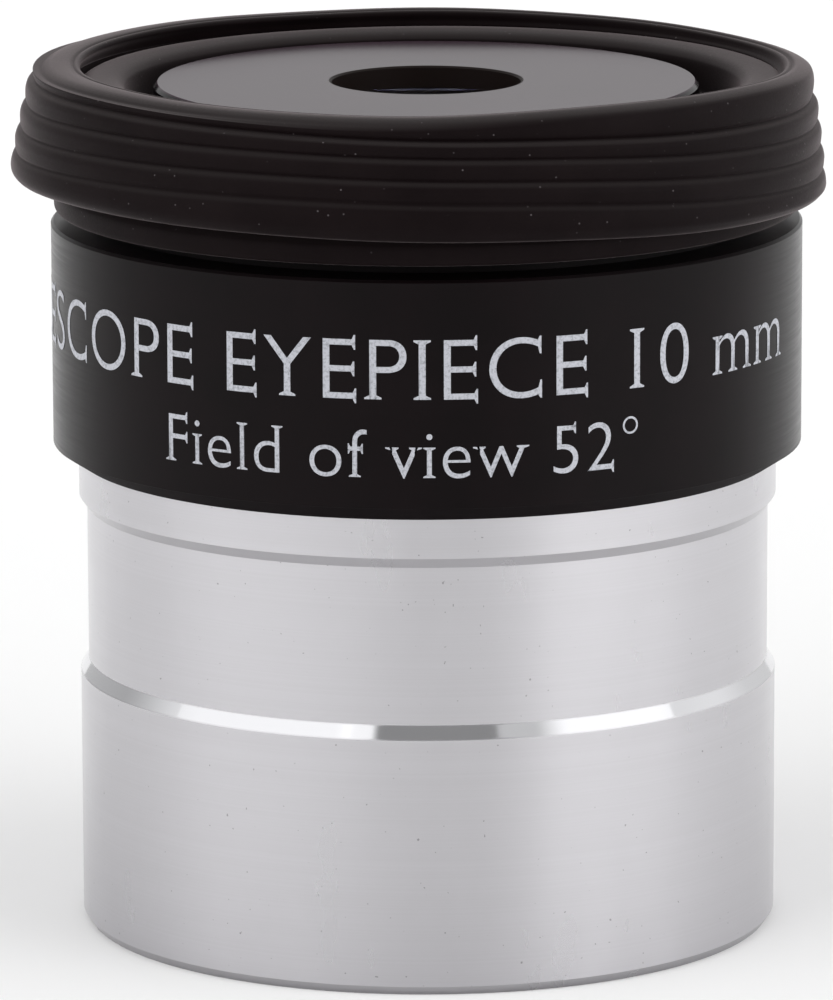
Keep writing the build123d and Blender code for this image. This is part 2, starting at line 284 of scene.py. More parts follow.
soft_box("left_soft_box", (-0.60, -0.25, 0.50), BOX_SIZE, 0.4)
soft_box("right_soft_box", (0.62, -0.30, 0.40), BOX_SIZE, 0.8)
soft_box("rear_soft_box", (0.05, 0.50, 0.62), REAR_BOX_SIZE, 0.8)

# %% [markdown]
# ## Knowing where a point lies
#
# One turned piece often has several finishes: a polished bevel, a dull foot, a black bore. It
# could be split into several material slots, but the CAD mesh stays as it is, so one material
# asks where each point lies. Its height and its distance from the axis, in millimetres, are
# enough for a round thing. The helpers below give those two, a soft mask between two heights,
# noises to break up a surface, and the shader that each finish starts from.

# %% Position helpers for materials
def place_in_piece(tree):
    """Object coordinates in millimetres: X, Y, Z sockets, and the distance from the axis."""
    coordinates = add(tree, "ShaderNodeTexCoord")
    scaled = add(tree, "ShaderNodeVectorMath", operation="SCALE")
    scaled.inputs["Scale"].default_value = 1 / MM
    tree.links.new(coordinates.outputs["Object"], scaled.inputs[0])
    split = add(tree, "ShaderNodeSeparateXYZ")
    tree.links.new(scaled.outputs[0], split.inputs[0])
    x, y, z = split.outputs
    across = math_node(tree, "MULTIPLY", x, x)
    radius = math_node(tree, "SQRT", math_node(tree, "MULTIPLY_ADD", y, y, across))
    return scaled.outputs[0], x, y, z, radius


# %% [markdown]
# ## Masks and noises
#
# A mask is 1 inside a band and 0 outside it. Two smooth steps multiplied give it, one rising
# and one falling. A painted texture could mark the bands too, but it would blur close up.

# %% Mask, noise and mix helpers
def between(tree, value, start, end, soft=0.02):
    """1 where value lies between start and end, with soft edges."""
    rising = add(tree, "ShaderNodeMapRange", interpolation_type="SMOOTHSTEP")
    put(rising, From_Min=start - soft, From_Max=start + soft)
    falling = add(tree, "ShaderNodeMapRange", interpolation_type="SMOOTHSTEP")
    put(falling, From_Min=end + soft, From_Max=end - soft)
    for node in (rising, falling):
        tree.links.new(value, node.inputs["Value"])
    return math_node(tree, "MULTIPLY", rising.outputs[0], falling.outputs[0])


def noise(tree, vector, scale, detail=2.0, roughness=0.5, dimensions="3D"):
    """A noise texture. In 1D the vector input takes a single number. Returns its factor."""
    node = add(tree, "ShaderNodeTexNoise", noise_dimensions=dimensions)
    put(node, Scale=scale, Detail=detail, Roughness=roughness)
    tree.links.new(vector, node.inputs["W" if dimensions == "1D" else "Vector"])
    return node.outputs[0]


def stretched(tree, vector, x, y, z):
    """The vector with each axis multiplied, to draw a texture out."""
    node = add(tree, "ShaderNodeVectorMath", operation="MULTIPLY")
    node.inputs[1].default_value = (x, y, z)
    tree.links.new(vector, node.inputs[0])
    return node.outputs[0]


def mix(tree, factor, first, second, kind="RGBA"):
    """Mixes two colours or two numbers by factor. Returns the result."""
    node = add(tree, "ShaderNodeMix", data_type=kind)
    if isinstance(factor, (int, float)):
        node.inputs["Factor"].default_value = factor
    else:
        tree.links.new(factor, node.inputs["Factor"])
    for name, value in (("A", first), ("B", second)):
        if isinstance(value, (tuple, int, float)):
            node.inputs[name].default_value = (*value, 1) if isinstance(value, tuple) else value
        else:
            tree.links.new(value, node.inputs[name])
    return node.outputs["Result"]


def spread(tree, value, low_end, high_end, least, most):
    """Maps low_end to high_end of a value onto least to most, and stays inside them."""
    node = add(tree, "ShaderNodeMapRange")
    put(node, From_Min=low_end, From_Max=high_end, To_Min=least, To_Max=most)
    tree.links.new(value, node.inputs["Value"])
    return node.outputs[0]


# %% [markdown]
# ## Where each finish starts
#
# Every finish starts from the Principled shader, and most of them have a little relief. Metal
# that was turned on a lathe also smears its highlights across the rings: that is the
# anisotropic setting, with a tangent that runs round Z and a quarter turn.

# %% Shader helpers
LATHE_TURN = 0.25                # as a share of a turn: highlights smear across the rings


def new_material(name):
    """A material with a Principled shader. Returns (material, tree, shader)."""
    material = bpy.data.materials.new(name)
    tree = tree_of(material)
    shader = add(tree, "ShaderNodeBsdfPrincipled")
    tree.links.new(shader.outputs[0], add(tree, "ShaderNodeOutputMaterial").inputs["Surface"])
    return material, tree, shader


def bump(tree, height, distance_mm, shader, strength=1.0):
    """Feeds a height of 0 to 1 into the shader's normal, as relief of the given depth."""
    node = put(add(tree, "ShaderNodeBump"), Strength=strength, Distance=distance_mm * MM)
    tree.links.new(height, node.inputs["Height"])
    tree.links.new(node.outputs[0], shader.inputs["Normal"])


def smear_round_axis(tree, shader, amount):
    """Stretches highlights as lathe rings round Z do."""
    put(shader, Anisotropic=amount)
    shader.inputs["Anisotropic Rotation"].default_value = LATHE_TURN
    around = add(tree, "ShaderNodeTangent", direction_type="RADIAL", axis="Z")
    tree.links.new(around.outputs[0], shader.inputs["Tangent"])


# %% [markdown]
# ## Turned metal
#
# A lathe leaves fine rings round the axis, one for each turn of the tool. They are far too
# fine to model, so they live in the shader: a noise that changes fast with height and hardly at
# all round the barrel drives the bump and the tone. The lower bevel is polished, the upper one
# and the foot are duller, and the bore is painted black so that no stray light reaches the eye.

# %% Barrel metal
BARREL_BORE_LIMIT = 14.4         # inside this radius the barrel is painted black
LOWER_BEVEL = (11.60, 12.17)     # heights of the polished bevel below the safety groove
UPPER_BEVEL = (19.28, 19.72)     # heights of the plain bevel above it
FOOT = (-1.0, 0.40)              # the barrel's lower edge
RING_TONES = ((0.35, (0.600, 0.590, 0.612)), (0.65, (0.620, 0.610, 0.634)))
SPECK_TONES = ((0.768, 1.0), (0.80, 0.35))         # rare dark specks in the skin
DULL_TONE = (0.52, 0.51, 0.53)
POLISHED_TONE = (0.70, 0.70, 0.72)
BLACK_PAINT = (0.012, 0.012, 0.013)
SATIN_ROUGHNESS = (0.27, 0.32)
POLISHED_ROUGHNESS = 0.08
PAINT_ROUGHNESS = 0.65

bright, tree, shader = new_material("bright_turned_metal")
vector, x, y, z, radius = place_in_piece(tree)
fine_rings = noise(tree, z, 9.0, 3.0, 0.7, "1D")
wide_rings = noise(tree, z, 1.3, 3.0, 0.5, "1D")
haze = noise(tree, stretched(tree, vector, 1.0, 1.0, 0.35), 0.5, detail=4.0)
specks = noise(tree, vector, 5.0, detail=1.0)
polish = between(tree, z, *LOWER_BEVEL, soft=0.07)
dull = math_node(tree, "MAXIMUM", between(tree, z, *UPPER_BEVEL), between(tree, z, *FOOT))
bore = between(tree, radius, -1.0, BARREL_BORE_LIMIT, 0.05)
wide_share = math_node(tree, "MULTIPLY", wide_rings, 0.4)
ring_mix = math_node(tree, "MULTIPLY_ADD", fine_rings, 0.6, wide_share)
ring_tone = ramp(tree, ring_mix, RING_TONES)
speck_tone = ramp(tree, specks, SPECK_TONES)
tone = add(tree, "ShaderNodeMix", data_type="RGBA", blend_type="MULTIPLY")
tone.inputs["Factor"].default_value = 0.7
tree.links.new(ring_tone, tone.inputs["A"])
tree.links.new(speck_tone, tone.inputs["B"])
cut_tone = mix(tree, dull, tone.outputs["Result"], DULL_TONE)
outside = mix(tree, polish, cut_tone, POLISHED_TONE)
tree.links.new(mix(tree, bore, outside, BLACK_PAINT), shader.inputs["Base Color"])
satin = spread(tree, haze, 0.3, 0.7, *SATIN_ROUGHNESS)
outside_rough = mix(tree, polish, satin, POLISHED_ROUGHNESS, "FLOAT")
roughness = mix(tree, bore, outside_rough, PAINT_ROUGHNESS, "FLOAT")
tree.links.new(roughness, shader.inputs["Roughness"])
tree.links.new(math_node(tree, "SUBTRACT", 1.0, bore), shader.inputs["Metallic"])
half_on_bevel = math_node(tree, "MULTIPLY_ADD", polish, -0.5, 1.0)
bump(tree, math_node(tree, "MULTIPLY", fine_rings, half_on_bevel), 0.0015, shader, 0.5)
smear_round_axis(tree, shader, 0.85)
print("barrel: polished from", *LOWER_BEVEL, "mm, black inside radius", BARREL_BORE_LIMIT, "mm")

# %% [markdown]
# ## Black anodised metal
#
# Anodising turns the skin of aluminium into a thin glassy oxide that holds black dye. It is
# not metallic to the eye: it behaves like a dark dielectric, almost black when seen square on
# and pale where the surface turns away, which the shader's own Fresnel gives. Faint turning
# rings and a slight unevenness of the dye keep it from looking like plastic.

# %% Black finishes
LOWER_EDGE = (21.0, 22.19)       # the housing's lower chamfer is cut last, and is duller
MATT_EDGE_ROUGHNESS = 0.90
RING_SCALE = 7.0


def black_anodised(name, colour, roughness, specular, ring_depth):
    """Dyed oxide on turned aluminium, with rings round Z of the given depth in mm."""
    material, tree, shader = new_material(name)
    vector, x, y, z, radius = place_in_piece(tree)
    rings = noise(tree, stretched(tree, vector, 0.03, 0.03, 1.0), RING_SCALE, 3.0, 0.65)
    dye = noise(tree, vector, 0.35, detail=5.0)
    paler = tuple(1.7 * channel for channel in colour)
    shade = ramp(tree, dye, ((0.35, colour), (0.75, paler)))
    tree.links.new(shade, shader.inputs["Base Color"])
    rough = spread(tree, rings, 0.3, 0.7, roughness * 0.88, roughness * 1.12)
    matt_edge = between(tree, z, *LOWER_EDGE)
    rough = mix(tree, matt_edge, rough, MATT_EDGE_ROUGHNESS, "FLOAT")
    tree.links.new(rough, shader.inputs["Roughness"])
    bump(tree, rings, ring_depth, shader, 0.5)
    shader.inputs["Specular IOR Level"].default_value = specular
    smear_round_axis(tree, shader, 0.8)
    print(name, "- roughness", roughness, "with rings", ring_depth * 1000, "microns deep")
    return material


SATIN_DYE = (0.0026, 0.0010, 0.0014)
MATT_DYE = (0.008, 0.007, 0.007)
housing_black = black_anodised("satin_black_anodised", SATIN_DYE, 0.32, 0.11, 0.0015)
cell_black = black_anodised("matte_black_anodised", MATT_DYE, 0.55, 0.20, 0.004)

# %% [markdown]
# ## The eye plate
#
# The flat black face round the eye hole is the top of the lens cell. It is smoother than the
# housing and lies almost edge-on to the viewer, so it mirrors the pale wall behind and looks
# grey, though its dye is nearly black. It could share the housing's material, but its turning
# rings are circles round the hole, so it gets its own. Below the face, the cell's side wall is
# coloured nearly black: painted shade.

# %% Eye plate
PLATE_HOLE = 4.40                # inside this radius it is the wall of the eye hole
PLATE_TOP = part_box("lens_cell")[1].z / MM
FACE_TONES = ((0.3, (0.029, 0.015, 0.0235)), (0.7, (0.035, 0.0185, 0.0285)))
# The side wall below the face gets a near-black colour: painted shade.
SIDE_PAINTED_SHADE = (0.003, 0.002, 0.003)
HOLE_TONE = (0.010, 0.006, 0.005)
FACE_ROUGHNESS = 0.13
HOLE_ROUGHNESS = 0.45

plate_black, tree, shader = new_material("smooth_black_plate")
vector, x, y, z, radius = place_in_piece(tree)
facing = noise(tree, radius, 14.0, 2.0, 0.6, "1D")
cloud = noise(tree, vector, 0.18, detail=2.0)
inside_hole = between(tree, radius, -1.0, PLATE_HOLE, 0.03)
face = between(tree, z, PLATE_TOP - 0.05, PLATE_TOP + 1.0, 0.02)
# Below the face the colour falls to the near-black side colour: painted shade on the side wall.
shade = mix(tree, face, SIDE_PAINTED_SHADE, ramp(tree, cloud, FACE_TONES))
tree.links.new(mix(tree, inside_hole, shade, HOLE_TONE), shader.inputs["Base Color"])
roughness = mix(tree, inside_hole, FACE_ROUGHNESS, HOLE_ROUGHNESS, "FLOAT")
tree.links.new(roughness, shader.inputs["Roughness"])
bump(tree, facing, 0.0006, shader, 0.4)
shader.inputs["Specular IOR Level"].default_value = 0.08
print("eye plate at", round(PLATE_TOP, 2), "mm, roughness", FACE_ROUGHNESS)

# %% [markdown]
# ## Glass
#
# Each lens is real glass with its own refraction, so light that enters the eye hole passes
# through all four of them. The outer faces carry an anti-reflection coating. It is a quarter
# of a wavelength thick for green light, so what it still reflects is purple and blue, and the
# shader gives that with a tinted specular reflection.

# %% Glasses
LENS_EDGE = 5.36                 # the ground rim of each lens is blackened
BLACKENED = (0.01, 0.01, 0.01)
BEYOND_LENS = 99.0


def optical_glass(name, index, tint, reflection):
    """Polished glass with a refractive index, a body tint and the colour of its reflection."""
    material, tree, shader = new_material(name)
    vector, x, y, z, radius = place_in_piece(tree)
    polish = noise(tree, vector, 2.0, detail=2.0)
    tree.links.new(spread(tree, polish, 0.0, 1.0, 0.0, 0.012), shader.inputs["Roughness"])
    edge = between(tree, radius, LENS_EDGE, BEYOND_LENS, 0.04)
    tree.links.new(mix(tree, edge, tint, BLACKENED), shader.inputs["Base Color"])
    put(shader, IOR=index)
    shader.inputs["Transmission Weight"].default_value = 1.0
    shader.inputs["Specular Tint"].default_value = (*reflection, 1)
    print(name, "- refractive index", index)
    return material


flint_glass = optical_glass("coated_flint_glass", 1.67, (0.93, 0.94, 0.97), (0.45, 0.40, 1.0))
crown_glass = optical_glass("crown_glass", 1.52, (0.96, 0.98, 0.97), (1.0, 1.0, 1.0))

# %% [markdown]
# ## Finishes on the pieces that come from the CAD
#
# Turned parts and lenses already have their true shape, so only their material slots are
# filled. The hidden pieces get a finish too, since the head can be unscrewed and looked into.

# %% Finishes on the CAD pieces
FINISHES = {
    "barrel": bright,
    "housing": housing_black,
    "lens_cell": plate_black,
    "field_stop": cell_black,
    "lens_retainer": cell_black,
    "lens_spacer": cell_black,
    "eye_flint": flint_glass,
    "field_flint": flint_glass,
    "eye_crown": crown_glass,
    "field_crown": crown_glass,
}
for name, finish in FINISHES.items():
    mesh = nodes[name].data
    mesh.materials.clear()
    mesh.materials.append(finish)
print("finished", len(FINISHES), "CAD pieces")

# %% [markdown]
# ## Rubber
#
# The cup is moulded rubber: nearly black, matt, a little brown where light grazes it, and
# always dusty. Dust is lighter than the rubber and sits in specks, so a few small dots are cut
# out of a fine Voronoi pattern, and a slow noise keeps them rare. Faces that look up, which the
# object's own normal tells, get a lighter colour: painted light from above. Sheen gives the soft
# bloom of the matt skin.

# %% Rubber material
RUBBER_TONES = ((0.35, (0.0052, 0.0026, 0.0030)), (0.70, (0.0078, 0.0044, 0.0048)))
# A lighter colour for faces that look up: painted light from above.
PAINTED_TOP_LIGHT = (0.022, 0.018, 0.018)
DUST_SPECK = (0.085, 0.075, 0.078)
SHEEN_TINT = (1.0, 0.86, 0.88, 1)
SKIN_ROUGHNESS = (0.50, 0.62)
SPECK_EDGE = ((0.055, 1.0), (0.100, 0.0))          # by distance from a speck's middle
SPECKED_PATCHES = ((0.47, 0.0), (0.56, 1.0))       # only where a slow noise is high
LOOKS_UP = ((0.35, 0.0), (0.98, 1.0))              # by the height of the normal

rubber, tree, shader = new_material("black_rubber")
vector, x, y, z, radius = place_in_piece(tree)
skin = noise(tree, vector, 9.0, detail=4.0, roughness=0.6)
bloom = noise(tree, vector, 0.30, detail=4.0)
dots = add(tree, "ShaderNodeTexVoronoi", feature="F1")
put(dots, Scale=2.0, Randomness=1.0)
tree.links.new(vector, dots.inputs["Vector"])
dust = ramp(tree, dots.outputs["Distance"], SPECK_EDGE)
rare = ramp(tree, noise(tree, vector, 0.9, detail=1.0), SPECKED_PATCHES)
dust = math_node(tree, "MULTIPLY", dust, rare)
body_tone = ramp(tree, bloom, RUBBER_TONES)
facing = add(tree, "ShaderNodeSeparateXYZ")
tree.links.new(add(tree, "ShaderNodeTexCoord").outputs["Normal"], facing.inputs[0])
# Faces that look up are mixed towards the lighter colour: painted light from above.
top_light_mask = ramp(tree, facing.outputs["Z"], LOOKS_UP)
top_lit_tone = mix(tree, top_light_mask, body_tone, PAINTED_TOP_LIGHT)
tree.links.new(mix(tree, dust, top_lit_tone, DUST_SPECK), shader.inputs["Base Color"])
tree.links.new(spread(tree, skin, 0.3, 0.7, *SKIN_ROUGHNESS), shader.inputs["Roughness"])
bump(tree, skin, 0.010, shader, 0.5)
shader.inputs["Specular IOR Level"].default_value = 0.06
shader.inputs["Sheen Tint"].default_value = SHEEN_TINT
put(shader, Sheen_Weight=0.32, Sheen_Roughness=0.28)
print("rubber: roughness", *SKIN_ROUGHNESS, "with", len(tree.nodes), "nodes")

# %% [markdown]
# ## The eyecup's shape
#
# The cup could be a screw modifier on a curve, but a lathe function in code is as short and
# lets each point of the profile be nudged as it goes round. That matters here: rubber that has
# been folded down never lies level. The lathe takes a closed profile of radii and heights, in
# millimetres, which is first rounded by a curve that passes through every point.

# %% Rounded profiles
def rounded(points, steps):
    """A Catmull-Rom curve through a closed list of (radius, height) points."""
    out = []
    count = len(points)
    for i in range(count):
        p = [np.array(points[(i + k) % count], float) for k in (-1, 0, 1, 2)]
        for s in range(steps):
            t = s / steps
            out.append(0.5 * (2 * p[1] + (p[2] - p[0]) * t
                              + (2 * p[0] - 5 * p[1] + 4 * p[2] - p[3]) * t * t
                              + (3 * p[1] - p[0] - 3 * p[2] + p[3]) * t ** 3))
    return [tuple(q) for q in out]


# %% [markdown]
# ## The lathe
#
# The lathe itself: the profile is copied round the axis, and neighbouring copies are joined by
# four-sided faces. The new mesh goes through a small finishing helper that turns all faces
# outward and shades them smooth or flat.

# %% Lathe
ROUND_STEPS = 256                # copies of the profile in one turn


def made_object(name, verts, faces, smooth=True):
    """A mesh object from points in metres and faces, with its normals outward."""
    mesh = bpy.data.meshes.new(name)
    mesh.from_pydata(verts, [], faces)
    work = bmesh.new()
    work.from_mesh(mesh)
    bmesh.ops.recalc_face_normals(work, faces=work.faces)
    work.to_mesh(mesh)
    work.free()
    if smooth:
        mesh.shade_smooth()
    piece = bpy.data.objects.new(name, mesh)
    scene.collection.objects.link(piece)
    print(name, "-", len(verts), "points")
    return piece


def lathe(name, profile, nudge=None):
    """A closed ring from a closed profile of (radius, height) in mm. nudge moves a point."""
    verts = []
    for i in range(ROUND_STEPS):
        angle = 2 * math.pi * i / ROUND_STEPS
        for r, h in profile:
            point = Vector((r * math.cos(angle), r * math.sin(angle), h))
            if nudge:
                point = nudge(point, r, h, angle)
            verts.append(point * MM)
    count = len(profile)
    faces = []
    for i in range(ROUND_STEPS):
        a, b = i * count, ((i + 1) % ROUND_STEPS) * count
        for k in range(count):
            n = (k + 1) % count
            faces.append((a + k, b + k, b + n, a + n))
    return made_object(name, verts, faces)


# %% [markdown]
# ## The folded skirt
#
# Its ribs are small half rounds that overlap like the tiles of a roof: each one bulges low and
# tucks in sharply under itself. The last and largest is the lip. They could be cut into a
# plain ring with a displacement, but then the sharp tucks would need a very dense mesh, while
# a profile gives them a point where they need one. Heights are in millimetres from the CAD
# skirt's own top and bottom.

# %% Skirt profile
RIM_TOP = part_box("eyecup_skirt")[1].z / MM
LIP_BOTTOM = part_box("eyecup_skirt")[0].z / MM
SKIRT_INSIDE = 17.02             # the fold's inner wall
RIB_PITCH = 1.09                 # from one crease to the next
FIRST_VALLEY = 1.13              # below the top of the rim
RIB_CRESTS = (17.90, 18.10, 18.28, 18.43)    # radii, the last one is the lip
RIB_VALLEYS = (17.50, 17.80, 18.00, 18.18)   # radii of the creases above them


def rib(index):
    """Points of one rib, from the crease above it to just before the next crease."""
    crease = RIM_TOP - FIRST_VALLEY - index * RIB_PITCH
    crest = RIB_CRESTS[index]
    return [
        (RIB_VALLEYS[index], crease),
        (crest - 0.10, crease - 0.17),
        (crest - 0.01, crease - 0.40),
        (crest, crease - 0.60),
        (crest - 0.025, crease - 0.90),
    ]


def skirt_profile():
    """The closed outline of the skirt and rim, from the inner edge of the rim round to it."""
    outline = [
        (16.02, RIM_TOP - 0.80), (15.98, RIM_TOP - 0.50), (15.90, RIM_TOP - 0.26),
        (15.94, RIM_TOP - 0.10), (16.08, RIM_TOP - 0.045), (16.20, RIM_TOP - 0.085),
        (16.34, RIM_TOP - 0.02), (16.60, RIM_TOP), (16.95, RIM_TOP - 0.05),
        (17.30, RIM_TOP - 0.20), (17.52, RIM_TOP - 0.42), (17.60, RIM_TOP - 0.66),
        (17.58, RIM_TOP - 0.92),
    ]
    plain_ribs = len(RIB_CRESTS) - 1
    for index in range(plain_ribs):
        outline += rib(index)
    lip = RIB_CRESTS[-1]
    crease = RIM_TOP - FIRST_VALLEY - plain_ribs * RIB_PITCH
    outline += [
        (RIB_VALLEYS[-1], crease), (lip - 0.08, crease - 0.20), (lip, crease - 0.55),
        (lip - 0.02, crease - 0.90), (lip - 0.16, crease - 1.16), (lip - 0.45, crease - 1.34),
        (17.60, LIP_BOTTOM + 0.02), (17.20, LIP_BOTTOM), (SKIRT_INSIDE, LIP_BOTTOM + 0.15),
        (SKIRT_INSIDE, LIP_BOTTOM + 2.0), (SKIRT_INSIDE, RIM_TOP - 1.6),
        (16.98, RIM_TOP - 0.95), (16.80, RIM_TOP - 0.82), (16.40, RIM_TOP - 0.80),
    ]
    return rounded(outline, 4)


print("skirt: lip", round(2 * RIB_CRESTS[-1], 2), "mm across,", len(RIB_CRESTS), "ribs")

# %% [markdown]
# ## How the skirt lies
#
# Rubber that is folded by hand never lies level. The skirt stands a little higher on the left
# than on the right, its ribs ride up at the front, and the rim swells where the fold is
# tightest. A lattice could bend a level cup into this shape, but each of these is one plain
# sentence about a point's height and its direction from the axis, so each is one line of the
# lathe's nudge. A share of 0 to 1 says how much a point belongs to the ribs, rim or lip.

# %% Eyecup skirt
TILT = 0.54                      # the ribs stand this much high on the left, low on the right
RIM_TILT = 0.14                  # the rim is held more level by the wall inside it
RIM_SAG = 0.11                   # and sags at the front and the sides
RIM_SWELL = 0.34                 # the rim swells up at the front right
SWELL_ANGLE = -0.75              # radians round Z from +X
LIP_LIFT = (0.215, 0.085)        # the lip's lower edge curls up: all round, and more at right
INNER_SHIFT = 0.28               # the rim's inner edge lies to the right of the axis
LEAN = (0.12, 0.05)              # the ribs lean to the left: at the top, and more per mm below
# At the front the ribs ride up towards the rim: (height below the top, lift) in mm.
FRONT_RISE = ((5.8, 0.22), (5.1, 0.55), (4.4, 0.80), (3.3, 0.67), (2.2, 0.52), (1.1, 0.15),
              (0.5, 0.05), (0.0, 0.02))


def share(value, start, end):
    """0 at start and before it, 1 at end and past it, and even between."""
    return min(1.0, max(0.0, (value - start) / (end - start)))


def lie_of_skirt(point, r, h, angle):
    """Moves one point of the skirt. The numbers are radii and depths below the top, in mm."""
    below = RIM_TOP - h
    outer = share(r, 16.9, 17.4)
    rim = share(below, 0.72, 0.27)
    lip_edge = share(below, 4.9, 5.5)
    ribs = max(outer * (1 - rim), lip_edge)
    left = -math.cos(angle)
    front = max(0.0, -math.sin(angle))
    back = max(0.0, math.sin(angle))
    depths, lifts = zip(*reversed(FRONT_RISE))
    rise = front ** 2 * float(np.interp(below, depths, lifts))
    wave = 0.025 * math.sin(5 * angle + 1.0) + 0.015 * math.sin(9 * angle)
    swell = max(0.0, math.cos(angle - SWELL_ANGLE)) ** 4
    lift = TILT * left * ribs + (rise + wave) * max(ribs, rim)
    lift += (RIM_TILT * left - RIM_SAG * (1 - back) + RIM_SWELL * swell) * rim
    lift += (LIP_LIFT[0] - LIP_LIFT[1] * left) * lip_edge
    lean = -(LEAN[0] + LEAN[1] * min(below, 5.0)) * outer * (1 - rim)
    shift = INNER_SHIFT * share(r, 16.9, 16.3) * rim
    grow = 1 + 0.001 * outer * math.sin(7 * angle + 2.0)
    return Vector((point.x * grow + lean + shift, point.y * grow, point.z + lift))


skirt = lathe("eyecup_folded_skirt", skirt_profile(), lie_of_skirt)

# %% [markdown]
# ## The band that grips the neck
#
# The lower part of the cup is a plain ring round the housing's neck, with a bead below and a
# soft shelf on top, just inside the rim. It stays with the head when the cup is turned up, so
# it is a mesh of its own. A bevelled cylinder would give the ring but not the shelf, so it
# comes from the same lathe.

# %% Eyecup band
BAND_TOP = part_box("eyecup_band")[1].z / MM
BAND_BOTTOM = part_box("eyecup_band")[0].z / MM
NECK_TOP = BAND_TOP - 0.78       # the band's underside rests here on the neck
SHELF_TOP = NECK_TOP + 1.88      # the soft shelf inside the cup, close under the rim

band_outline = [
    (13.98, NECK_TOP), (13.90, NECK_TOP + 0.30), (13.90, SHELF_TOP - 0.60),
    (14.00, SHELF_TOP - 0.34), (14.30, SHELF_TOP - 0.14), (14.80, SHELF_TOP - 0.03),
    (15.30, SHELF_TOP), (15.62, SHELF_TOP - 0.05), (15.82, SHELF_TOP - 0.22),
    (15.88, SHELF_TOP - 0.50), (15.90, NECK_TOP + 0.60), (16.10, NECK_TOP + 0.44),
    (16.45, NECK_TOP + 0.42), (16.58, NECK_TOP + 0.30),
    (16.60, NECK_TOP - 0.7), (16.60, BAND_BOTTOM + 1.5), (16.72, BAND_BOTTOM + 1.10),
    (16.86, BAND_BOTTOM + 0.85), (16.87, BAND_BOTTOM + 0.32), (16.83, BAND_BOTTOM + 0.10),
    (16.70, BAND_BOTTOM), (16.40, BAND_BOTTOM), (15.30, BAND_BOTTOM),
    (15.03, BAND_BOTTOM + 0.10), (15.03, BAND_BOTTOM + 1.5), (15.03, NECK_TOP - 0.3),
    (15.00, NECK_TOP), (14.6, NECK_TOP), (14.2, NECK_TOP),
]


def lie_of_band(point, r, h, angle):
    """The shelf on top of the band lies a little to the right, as the rim above it does."""
    shelf = share(h, NECK_TOP - 0.05, NECK_TOP + 0.15) * share(r, 16.2, 15.7)
    return Vector((point.x + INNER_SHIFT * shelf, point.y, point.z))


band = lathe("eyecup_neck_band", rounded(band_outline, 3), lie_of_band)

# %% [markdown]
# ## The wall that stretches
#
# Between band and skirt the rubber is thin, and it is what gives when the cup goes up.

# %% Eyecup web
WEB_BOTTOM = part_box("eyecup_web")[0].z / MM
WEB_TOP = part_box("eyecup_web")[1].z / MM
WEB_RINGS = 16
WEB_INSIDE = 16.04
WEB_OUTSIDE = 16.58
TUCK_BELOW = 0.02                # how far the wall reaches into the band and into the rim
TUCK_ABOVE = 0.08

web_start = WEB_BOTTOM - TUCK_BELOW
web_length = WEB_TOP + TUCK_ABOVE - web_start
heights = [web_start + web_length * k / WEB_RINGS for k in range(WEB_RINGS + 1)]
inside = [(WEB_INSIDE, h) for h in heights]
outside_wall = [(WEB_OUTSIDE, h) for h in reversed(heights)]
web = lathe("eyecup_stretch_wall", inside + outside_wall)

# %% [markdown]
# ## Who carries what
#
# Each rubber piece takes the place of the plain CAD solid of the same name, and rides on the
# body that moves it: the band on the head, and the skirt on the eyecup.

# %% Eyecup on its bodies
for piece, node, body in ((skirt, "eyecup_skirt", "eyecup"), (band, "eyecup_band", "head")):
    piece.data.materials.append(rubber)
    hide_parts(node)
    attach(piece, body)
web.data.materials.append(rubber)
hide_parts("eyecup_web")
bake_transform(web)
print("wall that stretches:", round(WEB_TOP - WEB_BOTTOM, 2), "mm long when folded")

# %% [markdown]
# ## The filter thread
#
# Filters screw into the barrel's foot. The CAD bore has the thread's major radius, and the
# ridge is added here as a real helix: a small triangle that climbs one pitch a turn on the
# inside of the wall, and runs out to nothing at both ends, as a single-point tool leaves it.
# A screw modifier makes helices too, but its ends would be cut off square.

# %% Filter thread
THREAD_RADIUS = 14.25
THREAD_DEPTH = 0.325
THREAD_PITCH = 0.6
THREAD_START = 0.45              # height of the first ridge above the barrel's foot
THREAD_TURNS = 6
STEPS_PER_TURN = 120
RUN_OUT_STEPS = 30
ROOT_HALF = 0.27                 # half of the ridge's width at the wall, and at its crest
CREST_HALF = 0.04
ROOTED = 0.03                    # how far the ridge reaches into the wall


def thread_ridge():
    """Points and faces of one helical ridge on the wall of the bore."""
    verts, faces = [], []
    total = THREAD_TURNS * STEPS_PER_TURN
    for i in range(total + 1):
        angle = 2 * math.pi * i / STEPS_PER_TURN
        run_out = min(1.0, i / RUN_OUT_STEPS, (total - i) / RUN_OUT_STEPS)
        crest = THREAD_RADIUS - THREAD_DEPTH * run_out
        middle = THREAD_START + THREAD_PITCH * i / STEPS_PER_TURN
        outer = THREAD_RADIUS + ROOTED
        for r, h in ((outer, -ROOT_HALF), (crest, -CREST_HALF), (crest, CREST_HALF),
                     (outer, ROOT_HALF)):
            verts.append(Vector((r * math.cos(angle), r * math.sin(angle), middle + h)) * MM)
    for i in range(total):
        a, b = 4 * i, 4 * (i + 1)
        for k in range(4):
            n = (k + 1) % 4
            faces.append((a + k, a + n, b + n, b + k))
    faces.append((0, 3, 2, 1))
    end = 4 * total
    faces.append((end, end + 1, end + 2, end + 3))
    return verts, faces


ridge_points, ridge_faces = thread_ridge()
thread = made_object("filter_thread_ridge", ridge_points, ridge_faces, smooth=False)

# %% [markdown]
# ## The thread's finish
#
# The thread is bare metal, a little rougher than the barrel outside. It could share the
# barrel's material, but that one has bands for the groove and bevels that mean nothing here,
# so it gets a plain noise of its own.

